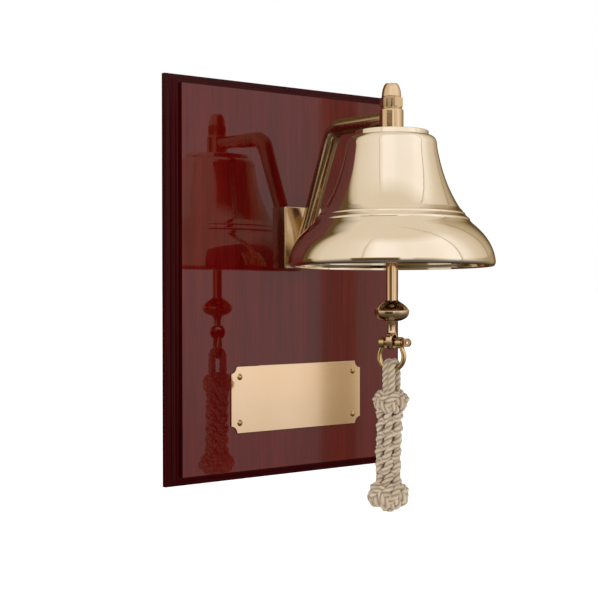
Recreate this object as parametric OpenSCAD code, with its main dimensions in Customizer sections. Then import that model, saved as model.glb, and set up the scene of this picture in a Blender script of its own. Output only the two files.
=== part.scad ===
// Wall-mounted ship's bell: a wooden plaque with a moulded edge carries a cast
// brass bracket, a bell held by a stud and an acorn nut, a swinging clapper, and
// a rope lanyard hung from the clapper by a shackle.
//
// Frame: origin at the centre of the plaque's back face, which is the wall face.
// +X runs to the right along the wall, +Y into the wall and +Z up.

/* [Plaque] */
// Width of the plaque
plaque_w = 231; // [210:1:250]
// Height of the plaque
plaque_h = 305; // [290:1:320]
// Thickness of the plaque
plaque_t = 15.4; // [15:0.2:18]
// Width of the moulded edge
edge_w = 7.8; // [7.8:0.2:12]

/* [Engraving plate] */
// Width of the engraving plate
tag_w = 129; // [100:1:150]
// Height of the engraving plate
tag_h = 50.8; // [40:0.2:60]
// Height of the plate's centre above the plaque's centre
tag_z = -90.4; // [-100:0.2:-85]
// Radius of the plate's scooped corners
tag_scoop = 5.4; // [3:0.2:7]

/* [Bracket] */
// Distance from the wall face to the bell's axis
bell_reach = 124; // [122:1:130]
// Width of the bracket's wall plate
foot_w = 37; // [34:1:44]
// Height of the bracket's wall plate
foot_h = 48; // [46:1:50]
// Thickness of the bracket's wall plate
foot_t = 8; // [7:0.5:9]
// Diameter of the boss at the end of the arm
boss_d = 17.3; // [15:0.1:20]

/* [Bell] */
// Diameter of the bell at its lip
lip_d = 147.6; // [144:0.2:150]
// Height of the bell from its lip to the top of its crown
bell_h = 97; // [95:0.5:100]
// Height of the crown's top face above the plaque's centre
crown_z = 106.5; // [104:0.5:108]
// Angle by which the bell hangs out of true on its stud
bell_tip = 1.4; // [0:0.1:1.4]
// Direction in which its mouth is tipped, from the wall's normal towards -X
tip_turn = 39; // [0:1:90]

/* [Clapper] */
// Diameter of the clapper rod
rod_d = 7.9; // [7:0.1:8.4]
// Diameter of the clapper ball
ball_d = 25.4; // [22:0.2:26]
// Height of the ball's widest circle above the plaque's centre
ball_z = -22.4; // [-24:0.2:-20]
// Angle between the shackle pin and the wall's normal
pin_turn = 23; // [0:1:30]

/* [Shackle and rope] */
// Diameter of the shackle's wire
wire_d = 3.6; // [3:0.1:4]
// Radius of the shackle's bow, to the middle of the wire
bow_r = 9.6; // [9:0.1:10.5]
// Diameter of one rope strand
strand_d = 5.4; // [4.6:0.1:5.6]
// Diameter of the braided part of the rope
braid_d = 20; // [18:0.5:22]
// Diameter of the upper knot
knot_d = 27; // [24:0.5:29]
// Diameter of the knob at the rope's end
knob_d = 32; // [28:0.5:34]

/* [Hidden] */
$fn = 48;
EPS = 0.01;
RUN = 0.05;            // radial running clearance of a pin in its hole
GAP = 0.3;             // clearance between loose metal loops

BRASS = [0.84, 0.74, 0.53];
OLD_BRASS = [0.62, 0.5, 0.3];
COPPER = [0.78, 0.55, 0.42];
STEEL = [0.7, 0.7, 0.72];
WOOD = [0.3, 0.07, 0.06];
COTTON = [0.79, 0.72, 0.6];

face_y = -plaque_t;    // the plaque's front face
axis_y = -bell_reach;  // the bell's axis
foot_y = face_y - foot_t;

// Engraving plate
tag_t = 1;
pin_inset = 8;
pin_head_r = 2.5;
pin_head_h = 1.3;
pin_dome_r = (pin_head_r * pin_head_r + pin_head_h * pin_head_h) / (2 * pin_head_h);

// Bracket
foot_z = 33;           // centre of the wall plate
bolt_x = 12;
bolt_z = 16.5;
bolt_r = 2.5;
bolt_bite = 6;         // depth of the threaded holes in the wall plate
arm_root = [foot_y + 4, 20];
arm_corner = [-59.6, 114.6];
arm_r_low = 5.2;
arm_r_high = 6;
elbow_r = 6.9;
run_end_z = 116.2;
run_r_end = 4.9;
boss_h = 15.6;
boss_z = crown_z + GAP;
stud_r = 4;

// Hangers
hanger_x = 70;
hanger_z = 110;
hanger_w = 18;
hanger_h = 44;
hanger_t = 1.6;
key_r = 4.5;
key_slot_w = 4.4;
key_slot_h = 11;
screw_z = 17;

// Bell wall, with heights above the lip
crown_r = 26.6;
crown_t = 4.2;
disc_h = 3.6;
lip_z = crown_z - bell_h;
lip_r = lip_d / 2;

// Clapper and its suspension
washer_t = 1.2;
nut_h = 5;
nut_af = 13;
eye_wire = 2.4;        // radius of the eye bolt's wire
eye_r = 4.6;           // radius of the eye bolt's eye, to the middle of the wire
nut_top_z = crown_z - crown_t - washer_t;
eye_z = nut_top_z - nut_h - 1.4 - eye_wire - eye_r;
link_wire = 1.6;
link_r = 5;
link_straight = 4;
link_top_z = eye_z - eye_r + eye_wire + link_wire + GAP;
link_arc_z = link_top_z - link_r;
link_low_z = link_arc_z - link_straight;
hook_wire = 1.8;
hook_r = 4.4;          // radius of the clapper's own eye, to the middle of its wire
hook_z = link_low_z - link_r + link_wire + hook_wire + GAP - hook_r;
rod_r = rod_d / 2;
ball_r = ball_d / 2;
tail_r = 6.4;
tail_hole_r = 4.2;
tail_t = 4.7;
tail_z = ball_z - 21;
shackle_pin_r = 2.4;
pin_z = tail_z - tail_hole_r + shackle_pin_r + GAP;
ear_x = 6.6;
ear_r = 4.1;
ear_t = 3.6;
collar_x = ear_x + ear_t / 2;
collar_r = 3.4;        // radius of the collar on the shackle's pin
wire_r = wire_d / 2;
bow_z = pin_z - 9.9;
bow_low_z = bow_z - bow_r;

// Rope: the middle line of the hanging rope, from the bow down to its end
strand_r = strand_d / 2;
loop_r = wire_r + strand_r + GAP;
loop_z = bow_low_z + 0.6;
knot_top_z = -77;
knot_h = 20;
braid_top_z = knot_top_z - knot_h;
knob_top_z = -144;
knob_h = 21;
BRAID_SIDES = 12;
BRAID_ROUTE = [[-1, 1, braid_top_z], [-1.5, 1, -112], [-2, 1.5, -128], [-2, 1.5, knob_top_z]];

function bezier(a, b, c, n) = [for (i = [0:n]) let (t = i / n)
    (1 - t) * (1 - t) * a + 2 * t * (1 - t) * b + t * t * c];
function arc(centre, r, from, to, n) = [for (i = [0:n]) let (a = from + (to - from) * i / n)
    centre + r * [cos(a), sin(a)]];
function flip(points) = [for (i = [len(points) - 1:-1:0]) [-points[i][0], points[i][1]]];

module at_bell() {
    translate([0, axis_y, 0]) children();
}

// Turns a part that is drawn with its pin along +X so that the pin lies at pin_turn
module at_pin() {
    at_bell() rotate([0, 0, pin_turn - 90]) children();
}

module rod_between(a, b, r1, r2) {
    d = b - a;
    length = norm(d);
    translate(a) rotate([0, acos(d[2] / length), atan2(d[1], d[0])])
        cylinder(h = length, r1 = r1, r2 = r2);
}

module ring(r, wire) {
    rotate_extrude($fn = 64) translate([r, 0]) circle(r = wire, $fn = 32);
}

module hexagon(af, h) {
    linear_extrude(h) circle(d = af / cos(30), $fn = 6);
}

// ---- plaque ----

// One edge of the plaque's section: a square band, a cove, a bead and a small step
function edge_profile(half) = concat(
    [[half, 0], [half, -4]],
    arc([half - 1.4, -4], 1.4, 0, -90, 4),
    arc([half - 1.2, -8.8], 3.2, 106, 180, 6),
    arc([half - 7.2, -9.2], 3.2, 6, -80, 6),
    [[half - edge_w + 0.4, -13.2], [half - edge_w + 0.4, face_y + 0.4],
     [half - edge_w, face_y]]);

module edged_section(half) {
    polygon(concat(edge_profile(half), flip(edge_profile(half))));
}

module moulded_board() {
    intersection() {
        translate([0, 0, -plaque_h / 2]) linear_extrude(plaque_h) edged_section(plaque_w / 2);
        rotate([0, 90, 0]) translate([0, 0, -plaque_w / 2])
            linear_extrude(plaque_w) edged_section(plaque_h / 2);
    }
}

module at_bracket_bolts() {
    for (x = [-bolt_x, bolt_x], z = [-bolt_z, bolt_z])
        translate([x, 0, foot_z + z]) rotate([90, 0, 0]) children();
}

module at_hangers() {
    for (x = [-hanger_x, hanger_x]) translate([x, 0, hanger_z]) rotate([90, 0, 0]) children();
}

module plaque() {
    color(WOOD) difference() {
        moulded_board();
        at_bracket_bolts() {
            translate([0, 0, -1]) cylinder(h = 6, r = 6.4);
            cylinder(h = plaque_t + 1, r = bolt_r + 0.3);
        }
        at_hangers() {
            translate([0, 0, hanger_t / 2 - 1])
                cube([hanger_w, hanger_h, hanger_t + 2], center = true);
            translate([0, key_slot_h / 2, 4.5]) cube([11, key_slot_h + 11, 9], center = true);
            for (z = [-screw_z, screw_z]) translate([0, z, 0]) cylinder(h = 10.2, r = 1.5);
        }
        for (x = [-1, 1], z = [-1, 1])
            translate([x * (tag_w / 2 - pin_inset), face_y - 1, tag_z + z * (tag_h / 2 - pin_inset)])
                rotate([-90, 0, 0]) cylinder(h = 7, r = 0.6);
    }
}

// ---- engraving plate ----

module tag_outline() {
    difference() {
        square([tag_w, tag_h], center = true);
        for (x = [-1, 1], y = [-1, 1])
            translate([x * tag_w / 2, y * tag_h / 2]) circle(r = tag_scoop);
        for (x = [-1, 1], y = [-1, 1])
            translate([x * (tag_w / 2 - pin_inset), y * (tag_h / 2 - pin_inset)])
                circle(r = 0.7, $fn = 24);
    }
}

module engraving_plate() {
    color(BRASS) translate([0, face_y, tag_z]) rotate([90, 0, 0]) linear_extrude(tag_t) tag_outline();
}

module plate_pins() {
    color(OLD_BRASS)
    for (x = [-1, 1], z = [-1, 1])
        translate([x * (tag_w / 2 - pin_inset), face_y - tag_t, tag_z + z * (tag_h / 2 - pin_inset)])
            rotate([90, 0, 0]) {
                translate([0, 0, -6]) cylinder(h = 6, r = 0.55);
                intersection() {
                    translate([0, 0, pin_head_h - pin_dome_r]) sphere(r = pin_dome_r);
                    cylinder(h = 2 * pin_head_h, r = pin_head_r);
                }
            }
}

// ---- bracket and what fastens it ----

module foot() {
    translate([0, face_y, foot_z]) rotate([90, 0, 0]) {
        linear_extrude(foot_t - 1) offset(r = 1.5) square([foot_w - 3, foot_h - 3], center = true);
        translate([0, 0, foot_t - 1]) hull() {
            linear_extrude(EPS) offset(r = 1.5) square([foot_w - 3, foot_h - 3], center = true);
            translate([0, 0, 1 - EPS]) linear_extrude(EPS)
                offset(r = 1) square([foot_w - 4, foot_h - 4], center = true);
        }
    }
}

module arm() {
    root = [0, arm_root[0], arm_root[1]];
    corner = [0, arm_corner[0], arm_corner[1]];
    flare_top = root + (corner - root) * 0.34;
    intersection() {
        union() {
            rod_between(root, corner, arm_r_low, arm_r_high);
            rod_between(root, flare_top, 9.4, arm_r_low);
        }
        translate([0, face_y - 100, 60]) cube([60, 200, 200], center = true);
    }
    translate(corner) sphere(r = elbow_r);
    rod_between(corner, [0, axis_y, run_end_z], elbow_r - 0.3, run_r_end);
}

module boss() {
    r = boss_d / 2;
    translate([0, 0, boss_z]) rotate_extrude()
        polygon(concat([[0, 0], [r, 0]], arc([r - 1, boss_h - 1], 1, 0, 90, 4), [[0, boss_h]]));
}

module bracket() {
    color(OLD_BRASS) difference() {
        union() {
            foot();
            arm();
            at_bell() boss();
        }
        at_bell() translate([0, 0, boss_z - 1]) cylinder(h = boss_h + 2, r = stud_r + RUN);
        at_bracket_bolts() cylinder(h = plaque_t + bolt_bite, r = bolt_r + RUN);
    }
}

module bracket_bolts() {
    color(STEEL) at_bracket_bolts() {
        translate([0, 0, 5]) mirror([0, 0, 1]) translate([0, 0, washer_t]) hexagon(8, 3.2);
        translate([0, 0, 5 - washer_t - EPS]) cylinder(h = plaque_t + bolt_bite - 5, r = bolt_r);
    }
}

module bracket_washers() {
    color(STEEL) at_bracket_bolts() translate([0, 0, 5 - washer_t]) difference() {
        cylinder(h = washer_t, r = 5.5);
        translate([0, 0, -1]) cylinder(h = 4, r = bolt_r + 0.1);
    }
}

// ---- keyhole hangers let into the plaque's back ----

module hanger_plates() {
    color(STEEL) at_hangers() difference() {
        translate([0, 0, hanger_t / 2]) cube([hanger_w - 0.4, hanger_h - 0.4, hanger_t], center = true);
        translate([0, 0, -1]) cylinder(h = 4, r = key_r);
        translate([-key_slot_w / 2, 0, -1]) cube([key_slot_w, key_slot_h, 4]);
        translate([0, key_slot_h, -1]) cylinder(h = 4, r = key_slot_w / 2);
        for (z = [-screw_z, screw_z]) translate([0, z, -EPS])
            cylinder(h = hanger_t + 2 * EPS, r1 = 3.2, r2 = 1.6);
    }
}

module hanger_screws() {
    color(STEEL) at_hangers() for (z = [-screw_z, screw_z]) translate([0, z, 0]) {
        cylinder(h = hanger_t, r1 = 3.1, r2 = 1.5);
        cylinder(h = 10, r = 1.45);
    }
}

// ---- bell ----

// The bell's outside, from the crown down to the lip: crown disc, round shoulder,
// hollow waist, two beads and the flare
function bell_outside() = concat(
    [[stud_r, bell_h], [crown_r - 0.6, bell_h], [crown_r, bell_h - 0.6],
     [crown_r, bell_h - disc_h + 0.3], [crown_r - 0.4, bell_h - disc_h]],
    bezier([27.4, bell_h - disc_h], [32.4, bell_h - disc_h - 0.2], [32.5, bell_h - 10], 8),
    bezier([32.6, bell_h - 11], [37, bell_h - 38], [49.2, 40.8], 14),
    [[49.8, 40.4]],
    arc([50.6, 36.4], 2, 68, 2, 5),
    arc([53.9, 32.6], 2, 62, -8, 5),
    bezier([58, 30], [lip_r - 1.4, 18.3], [lip_r, 3.4], 14),
    bezier([lip_r, 3.2], [lip_r - 0.1, 0.3], [lip_r - 1.8, 0], 4));

function bell_inside() = concat(
    bezier([lip_r - 4.4, 0], [lip_r - 4.6, 1.5], [lip_r - 4.4, 3.4], 3),
    bezier([lip_r - 4.4, 4], [lip_r - 6, 16], [54, 27.6], 12),
    bezier([46.4, 37.2], [33.6, bell_h - 39], [29.4, bell_h - 11], 12),
    bezier([29.3, bell_h - 10], [29.1, bell_h - crown_t - 1.4], [24, bell_h - crown_t], 6),
    [[stud_r, bell_h - crown_t]]);

module bell() {
    color(BRASS) translate([0, axis_y, crown_z]) rotate([0, 0, -tip_turn]) rotate([-bell_tip, 0, 0])
        translate([0, 0, -bell_h]) difference() {
            rotate_extrude($fn = 128) polygon(concat(bell_outside(), bell_inside()));
            translate([0, 0, bell_h - crown_t - 1]) cylinder(h = crown_t + 2, r = stud_r + 0.2);
        }
}

// ---- stud, nuts and washers ----

module eye_bolt() {
    top = boss_z + boss_h + washer_t + 10;
    color(STEEL) at_bell() {
        translate([0, 0, eye_z + eye_r]) cylinder(h = top - eye_z - eye_r, r = stud_r);
        translate([0, 0, eye_z]) rotate([90, 0, 0]) ring(eye_r, eye_wire);
    }
}

module crown_washer() {
    color(OLD_BRASS) at_bell() translate([0, 0, nut_top_z]) difference() {
        cylinder(h = washer_t - GAP, r = 9);
        translate([0, 0, -1]) cylinder(h = 4, r = stud_r + 0.1);
    }
}

module crown_nut() {
    color(OLD_BRASS) at_bell() translate([0, 0, nut_top_z - nut_h]) difference() {
        hexagon(nut_af, nut_h);
        translate([0, 0, -1]) cylinder(h = nut_h + 2, r = stud_r + RUN);
    }
}

module top_washer() {
    color(OLD_BRASS) at_bell() translate([0, 0, boss_z + boss_h]) difference() {
        cylinder(h = washer_t, r = 7.6);
        translate([0, 0, -1]) cylinder(h = 4, r = stud_r + 0.1);
    }
}

// Tall cap nut: a hexagon that runs up into a bullet-shaped dome with a flat tip
module acorn_nut() {
    hex_r = 8.5;
    hex_turn = 31;
    nut_turn = 34;
    hex_top = 7.4;
    tip = 17.2;
    shape = concat([[0, 0], [hex_r - 0.9, 0], [hex_r, 0.8], [hex_r, hex_top - 1.4]],
        bezier([7.75, hex_top], [7.2, 13.4], [4.6, tip], 8), [[0, tip]]);
    color(BRASS) at_bell() translate([0, 0, boss_z + boss_h + washer_t]) rotate([0, 0, nut_turn])
    difference() {
        intersection() {
            rotate_extrude() polygon(shape);
            rotate([0, 0, hex_turn]) linear_extrude(tip) circle(r = hex_r, $fn = 6);
        }
        translate([0, 0, -1]) cylinder(h = 11.5, r = stud_r + RUN);
    }
}

// ---- clapper ----

module clapper_link() {
    color(BRASS) at_bell() {
        for (side = [0, 1]) translate([0, 0, side == 0 ? link_arc_z : link_low_z])
            rotate([180 * side, 0, 0]) rotate([90, 0, 90])
                rotate_extrude(angle = 180, $fn = 64) translate([link_r, 0]) circle(r = link_wire, $fn = 32);
        for (y = [-link_r, link_r]) translate([0, y, link_low_z])
            cylinder(h = link_straight, r = link_wire);
    }
}

module clapper_rod() {
    shoulder_z = hook_z - hook_r - 1;
    color(OLD_BRASS) at_bell() {
        translate([0, 0, hook_z]) rotate([90, 0, 0]) ring(hook_r, hook_wire);
        translate([0, 0, shoulder_z - 4]) cylinder(h = 4, r1 = rod_r, r2 = 2.2);
        translate([0, 0, ball_z + 7.8]) cylinder(h = shoulder_z - 4 - ball_z - 7.8, r = rod_r);
        translate([0, 0, ball_z]) cylinder(h = 8, r = 3);
    }
}

module clapper_ball() {
    shape = concat([[0, 7.8], [4.8, 7.8], [5.5, 7.2]],
        bezier([5.6, 7], [10.8, 4.2], [ball_r, 0.4], 8),
        bezier([ball_r, -0.2], [ball_r - 0.2, -5.8], [4.6, -7.2], 8), [[0, -7.2]]);
    color(OLD_BRASS) at_bell() translate([0, 0, ball_z]) difference() {
        rotate_extrude($fn = 96) polygon(shape);
        translate([0, 0, -8]) cylinder(h = 17, r = 3 + RUN);
    }
}

module clapper_tail() {
    neck = concat([[0, -7.2], [4.5, -7.2]], bezier([4.4, -7.6], [2.9, -9], [2.9, -12], 5),
        bezier([2.9, -13], [2.9, -15], [3.6, -16], 4), [[0, -16]]);
    color(OLD_BRASS) {
        at_bell() translate([0, 0, ball_z]) {
            rotate_extrude() polygon(neck);
            translate([0, 0, -7.3]) cylinder(h = 7.2, r = 3);
        }
        at_pin() translate([0, 0, tail_z]) rotate([0, 90, 0]) difference() {
            rotate_extrude() polygon([[0, -tail_t / 2], [tail_r - 0.8, -tail_t / 2],
                [tail_r, -tail_t / 2 + 0.8], [tail_r, tail_t / 2 - 0.8],
                [tail_r - 0.8, tail_t / 2], [0, tail_t / 2]]);
            translate([0, 0, -tail_t]) cylinder(h = 2 * tail_t, r = tail_hole_r);
        }
    }
}

// ---- shackle ----

module shackle_bow() {
    rise = pin_z - bow_z;
    tangent = atan2(rise, ear_x) - acos(bow_r / norm([ear_x, rise]));
    color(BRASS) at_pin() difference() {
        union() {
            translate([0, 0, bow_z]) rotate([90, 0, 0]) rotate([0, 0, 180 - tangent])
                rotate_extrude(angle = 180 + 2 * tangent, $fn = 96)
                    translate([bow_r, 0]) circle(r = wire_r, $fn = 32);
            for (side = [-1, 1]) {
                start = tangent - 4;
                leg_foot = [side * bow_r * cos(start), 0, bow_z + bow_r * sin(start)];
                rod_between(leg_foot, [side * ear_x, 0, pin_z], wire_r - 0.06, wire_r - 0.06);
                translate([side * ear_x - ear_t / 2, 0, pin_z]) rotate([0, 90, 0])
                    cylinder(h = ear_t, r = ear_r);
            }
        }
        translate([-20, 0, pin_z]) rotate([0, 90, 0]) cylinder(h = 40, r = shackle_pin_r + RUN);
        translate([collar_x, 0, pin_z]) rotate([0, 90, 0]) cylinder(h = 4, r = collar_r + GAP);
    }
}

module shackle_pin() {
    collar_t = 1;
    head_r = 3.1;
    head_x = collar_x + collar_t + 2.4;
    color(COPPER) at_pin() translate([0, 0, pin_z]) {
        translate([-collar_x - 0.6, 0, 0]) rotate([0, 90, 0])
            cylinder(h = 2 * collar_x + 1.6, r = shackle_pin_r);
        translate([collar_x + 0.1, 0, 0]) rotate([0, 90, 0]) cylinder(h = collar_t, r = collar_r);
        difference() {
            translate([head_x, 0, 0]) rotate([90, 0, 0]) cylinder(h = 3, r = head_r, center = true);
            translate([head_x + 0.3, 0, 0]) rotate([90, 0, 0]) cylinder(h = 5, r = 1.1, center = true);
        }
    }
}

// ---- rope ----

// Two strands laid side by side over the bow, each with its two legs
module rope_eye() {
    color(COTTON) at_pin() translate([0, 0, loop_z])
    for (side = [-1, 1]) translate([side * 2.1, 0, 0]) {
        rotate([90, 0, 90]) rotate_extrude(angle = 180, $fn = 48)
            translate([loop_r, 0]) circle(r = strand_r, $fn = 32);
        for (y = [-loop_r, loop_r]) translate([0, y, knot_top_z - loop_z])
            cylinder(h = loop_z - knot_top_z, r = strand_r);
    }
}

module rounded_knot(r, h, round_top, round_low, waist_r) {
    rotate_extrude($fn = 64) polygon(concat([[0, 0], [waist_r, 0]],
        bezier([waist_r, 0], [r, 0], [r, -round_top], 6),
        bezier([r, -h + round_low], [r, -h], [waist_r, -h], 6), [[0, -h]]));
}

module upper_knot() {
    color(COTTON) at_bell() translate([-0.5, 0.5, knot_top_z])
        rounded_knot(knot_d / 2, knot_h, 8, 5, 8);
}

module rope_braid() {
    ring_count = len(BRAID_ROUTE);
    radius = [for (i = [0:ring_count - 1]) braid_d / 2 * (1 + 0.04 - 0.08 * i / (ring_count - 1))];
    rings = [for (i = [0:ring_count - 1]) for (k = [0:BRAID_SIDES - 1])
        BRAID_ROUTE[i] + radius[i] * [cos(360 * k / BRAID_SIDES), sin(360 * k / BRAID_SIDES), 0]];
    sides = [for (i = [0:ring_count - 2]) for (k = [0:BRAID_SIDES - 1])
        let (a = i * BRAID_SIDES + k, b = i * BRAID_SIDES + (k + 1) % BRAID_SIDES)
        [a, b, b + BRAID_SIDES, a + BRAID_SIDES]];
    last = (ring_count - 1) * BRAID_SIDES;
    caps = [[for (k = [BRAID_SIDES - 1:-1:0]) k], [for (k = [0:BRAID_SIDES - 1]) last + k]];
    color(COTTON) at_bell() polyhedron(rings, concat(sides, caps));
}

module bottom_knob() {
    color(COTTON) at_bell() translate([-2, 1.5, knob_top_z])
        rounded_knot(knob_d / 2, knob_h, 7, 11, 8);
}

plaque();
engraving_plate();
plate_pins();
bracket();
bracket_bolts();
bracket_washers();
hanger_plates();
hanger_screws();
bell();
eye_bolt();
crown_washer();
crown_nut();
top_washer();
acorn_nut();
clapper_link();
clapper_rod();
clapper_ball();
clapper_tail();
shackle_bow();
shackle_pin();
rope_eye();
upper_knot();
rope_braid();
bottom_knob();
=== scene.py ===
"""Looks of a wall-mounted ship's bell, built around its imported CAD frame.

Metres and +Z up, in the frame's own axes: the wall face is y = 0 and the bell hangs towards -Y.
Shapes are written in millimetres, as the CAD source has them, and turned into metres as meshes are made.
"""

import math

import bmesh
import bpy
import numpy as np
from mathutils import Matrix, Vector


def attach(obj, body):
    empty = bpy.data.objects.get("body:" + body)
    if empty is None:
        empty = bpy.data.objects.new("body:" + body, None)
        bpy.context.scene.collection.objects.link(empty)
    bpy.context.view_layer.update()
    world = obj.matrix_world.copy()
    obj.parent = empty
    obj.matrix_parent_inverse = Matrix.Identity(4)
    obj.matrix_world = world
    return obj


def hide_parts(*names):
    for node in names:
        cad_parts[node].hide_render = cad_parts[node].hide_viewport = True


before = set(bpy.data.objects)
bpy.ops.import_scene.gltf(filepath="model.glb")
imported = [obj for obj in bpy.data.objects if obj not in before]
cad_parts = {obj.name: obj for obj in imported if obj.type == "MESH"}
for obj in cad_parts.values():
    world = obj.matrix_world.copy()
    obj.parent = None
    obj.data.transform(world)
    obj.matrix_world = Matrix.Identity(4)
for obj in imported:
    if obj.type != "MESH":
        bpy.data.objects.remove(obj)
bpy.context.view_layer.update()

MM = 0.001

# Driving sizes of the CAD model, in millimetres and degrees. _W, _H and _T are a width, a height and a
# thickness, _R is a radius, and _X, _Z and _TOP are places.
PLAQUE_W, PLAQUE_H, PLAQUE_T = 231, 305, 15.4
TAG_W, TAG_H, TAG_Z, TAG_T, TAG_SCOOP = 129, 50.8, -90.4, 1, 5.4
BELL_REACH = 124
FOOT_W, FOOT_H, FOOT_T, FOOT_Z = 37, 48, 8, 33
BOLT_X, BOLT_Z = 12, 16.5
HANGER_X, HANGER_Z, SCREW_Z, KEY_SLOT_H = 70, 110, 17, 11
BOSS_R, BOSS_H, BOSS_Z = 8.65, 15.6, 106.8
LIP_R, BELL_H, CROWN_Z, BELL_TIP, TIP_TURN = 73.8, 97, 106.5, 1.4, 39
CROWN_R, CROWN_T, DISC_H, STUD_R = 26.6, 4.2, 3.6, 4
BALL_R, BALL_Z = 12.7, -22.4
HEX_TURN, PIN_TURN = 5, 23
STRAND_R, LOOP_R, LOOP_Z = 2.7, 4.8, -63.8
KNOT_TOP, KNOT_H, KNOT_R = -77, 20, 13.5
KNOB_TOP, KNOB_H, KNOB_R = -144, 21, 16

# Hollows in the plaque's back: wells and holes for the bolts, pockets and slots for the hanger plates
WELL_R, WELL_DEPTH, BOLT_HOLE_R = 6.4, 5, 2.8
POCKET_W, POCKET_H, POCKET_DEPTH = 18, 44, 1.6
KEY_SLOT_W, KEY_SLOT_DEPTH = 11, 9
SCREW_HOLE_R, SCREW_HOLE_DEPTH = 1.5, 10.2

AXIS = Vector((0, -BELL_REACH, 0))
FACE_Y = -PLAQUE_T
AT_BELL = Matrix.Translation(AXIS)
AT_PIN = AT_BELL @ Matrix.Rotation(math.radians(PIN_TURN - 90), 4, "Z")


def add_object(name, data):
    obj = bpy.data.objects.new(name, data)
    bpy.context.scene.collection.objects.link(obj)
    return obj


# ---- camera ----

CAMERA_AT = (-0.64126, -0.81838, -0.00282)
CAMERA_YAW = 38.686
CAMERA_PITCH = -0.652
CAMERA_ROLL = -0.078
CAMERA_LENS = 78.98


def add_camera():
    data = bpy.data.cameras.new("camera")
    data.lens = CAMERA_LENS
    data.sensor_width = 36
    camera = add_object("camera", data)
    turn = (Matrix.Rotation(math.radians(-CAMERA_YAW), 4, "Z")
            @ Matrix.Rotation(math.radians(90 + CAMERA_PITCH), 4, "X")
            @ Matrix.Rotation(math.radians(CAMERA_ROLL), 4, "Z"))
    camera.matrix_world = Matrix.Translation(CAMERA_AT) @ turn
    bpy.context.scene.camera = camera


add_camera()


# ---- geometry helpers; points and sizes are in millimetres ----

def bezier(a, b, c, n):
    """Points of a curve from a to c that is drawn towards b."""
    a, b, c = (np.array(p, float) for p in (a, b, c))
    return [tuple((1 - t) ** 2 * a + 2 * t * (1 - t) * b + t * t * c) for t in np.linspace(0, 1, n + 1)]


def arc(centre, r, start, end, n):
    """Points round a centre, from one angle to another in degrees."""
    angles = np.radians(np.linspace(start, end, n + 1))
    return [(centre[0] + r * math.cos(a), centre[1] + r * math.sin(a)) for a in angles]


def new_mesh(name, points, faces, place=None):
    """A mesh in metres from points in millimetres, moved by a matrix that is in millimetres too."""
    mesh = bpy.data.meshes.new(name)
    mesh.from_pydata([tuple(p) for p in points], [], [tuple(f) for f in faces])
    if place is not None:
        mesh.transform(place)
    mesh.transform(Matrix.Scale(MM, 4))
    return mesh


def make_piece(name, points, faces, material, replaces, body="root", sharp=35, place=None):
    """A mesh piece, smooth shaded but for edges that turn by more than `sharp` degrees."""
    mesh = new_mesh(name, points, faces, place)
    finish_mesh(mesh, sharp)
    return dress_piece(add_object(name, mesh), material, replaces, body)


def dress_piece(obj, material, replaces, body):
    obj.data.materials.append(material)
    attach(obj, body)
    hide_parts(*replaces)
    return obj


def finish_mesh(mesh, sharp):
    """Joins doubled points, faces the surface outwards, and marks edges past an angle as sharp."""
    bm = bmesh.new()
    bm.from_mesh(mesh)
    bmesh.ops.remove_doubles(bm, verts=bm.verts, dist=1e-7)
    bmesh.ops.recalc_face_normals(bm, faces=bm.faces)
    limit = math.radians(sharp)
    for face in bm.faces:
        face.smooth = True
    for edge in bm.edges:
        edge.smooth = len(edge.link_faces) == 2 and edge.calc_face_angle(0) < limit
    bm.to_mesh(mesh)
    bm.free()


def lathe(profile, segments):
    """Turns (radius, height) points about the axis: a closed section, or one with both ends at radius 0."""
    points, rings = [], []
    for r, z in profile:
        if r == 0:
            rings.append([len(points)])
            points.append((0, 0, z))
            continue
        rings.append(list(range(len(points), len(points) + segments)))
        points += [(r * math.cos(a), r * math.sin(a), z)
                   for a in np.linspace(0, 2 * math.pi, segments, endpoint=False)]
    on_axis = len(rings[0]) == 1 and len(rings[-1]) == 1
    pairs = list(zip(rings, rings[1:])) + ([] if on_axis else [(rings[-1], rings[0])])
    return points, [face for low, high in pairs for face in band(low, high)]


def band(low, high):
    """Faces between two rings of point numbers; a ring of one point makes a fan."""
    n = max(len(low), len(high))
    faces = []
    for i in range(n):
        j = (i + 1) % n
        if len(low) == 1:
            faces.append((low[0], high[j], high[i]))
        elif len(high) == 1:
            faces.append((low[i], low[j], high[0]))
        else:
            faces.append((low[i], low[j], high[j], high[i]))
    return faces


def skin(rings):
    """Faces between each ring and the next."""
    return [face for low, high in zip(rings, rings[1:]) for face in band(low, high)]


def capped(rings):
    """The skin over a row of rings, with both ends filled."""
    return skin(rings) + [tuple(reversed(rings[0])), tuple(rings[-1])]


def lengths_along(path):
    """How far along a path each of its points lies."""
    steps = np.linalg.norm(np.diff(path, axis=0), axis=1)
    return np.concatenate([[0], np.cumsum(steps)])


# A direction that no path starts along
AWAY_FROM_PATHS = [0.3, 0.2, 0.93]


def frames_along(path, closed=False):
    """Two unit normals at each point of a path, carried along it without turning about it."""
    path = np.asarray(path, float)
    if closed:
        tangents = np.roll(path, -1, 0) - np.roll(path, 1, 0)
    else:
        tangents = np.gradient(path, axis=0)
    tangents /= np.linalg.norm(tangents, axis=1)[:, None]
    side = np.cross(tangents[0], AWAY_FROM_PATHS)
    sides = []
    for t in tangents:
        side = side - t * (side @ t)
        side /= np.linalg.norm(side)
        sides.append(side)
    sides = np.array(sides)
    return sides, np.cross(tangents, sides)


def circle(radius, sides):
    angles = np.linspace(0, 2 * math.pi, sides, endpoint=False)
    return np.stack([np.cos(angles), np.sin(angles)], 1) * radius


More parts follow.
